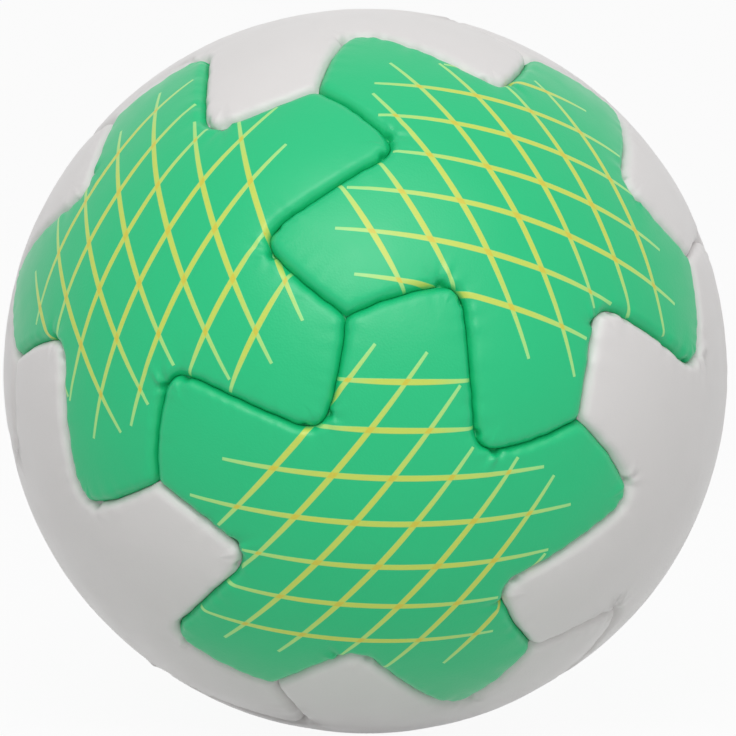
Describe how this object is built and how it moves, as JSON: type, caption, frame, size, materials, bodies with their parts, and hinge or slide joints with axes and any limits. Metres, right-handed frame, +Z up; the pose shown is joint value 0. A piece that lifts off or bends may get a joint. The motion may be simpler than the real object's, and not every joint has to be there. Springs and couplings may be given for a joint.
{
  "type": "handball",
  "caption": "Inflated handball of interlocking padded panels with S-shaped seams, green and white, over a bladder with a needle valve.",
  "frame": {"origin": "centre of the ball", "axes": "+Z up as the ball lies in the picture, +X to the right and -Y towards the camera"},
  "size_m": [0.1878, 0.1878, 0.1878],
  "materials": {
    "cover_green": "fine-grained synthetic leather, satin, mint green with yellow printed lines",
    "cover_white": "fine-grained synthetic leather, satin, off-white",
    "pad_foam": "closed-cell foam, matt",
    "lining_cloth": "plain woven cotton and polyester backing",
    "seam_thread": "waxed polyester thread",
    "bladder_rubber": "smooth latex, matt",
    "valve_rubber": "moulded rubber, matt",
    "core_rubber": "moulded rubber, satin"
  },
  "bodies": {
    "root": {"cover_front_low": "cover_green", "cover_right_low": "cover_white", "cover_front_right": "cover_green", "cover_front_left": "cover_green", "cover_left_low": "cover_white", "cover_bottom": "cover_white", "cover_right_back": "cover_white", "cover_top": "cover_white", "cover_left_back": "cover_white", "cover_back_left": "cover_green", "cover_back_right": "cover_green", "cover_back_high": "cover_green", "foam_front_low": "pad_foam", "foam_right_low": "pad_foam", "foam_front_right": "pad_foam", "foam_front_left": "pad_foam", "foam_left_low": "pad_foam", "foam_bottom": "pad_foam", "foam_right_back": "pad_foam", "foam_top": "pad_foam", "foam_left_back": "pad_foam", "foam_back_left": "pad_foam", "foam_back_right": "pad_foam", "foam_back_high": "pad_foam", "lining_front_low": "lining_cloth", "lining_right_low": "lining_cloth", "lining_front_right": "lining_cloth", "lining_front_left": "lining_cloth", "lining_left_low": "lining_cloth", "lining_bottom": "lining_cloth", "lining_right_back": "lining_cloth", "lining_top": "lining_cloth", "lining_left_back": "lining_cloth", "lining_back_left": "lining_cloth", "lining_back_right": "lining_cloth", "lining_back_high": "lining_cloth", "seam_threads": "seam_thread", "bladder": "bladder_rubber", "valve_patch": "valve_rubber", "valve_body": "valve_rubber", "valve_core": "core_rubber"}
  },
  "joints": []
}
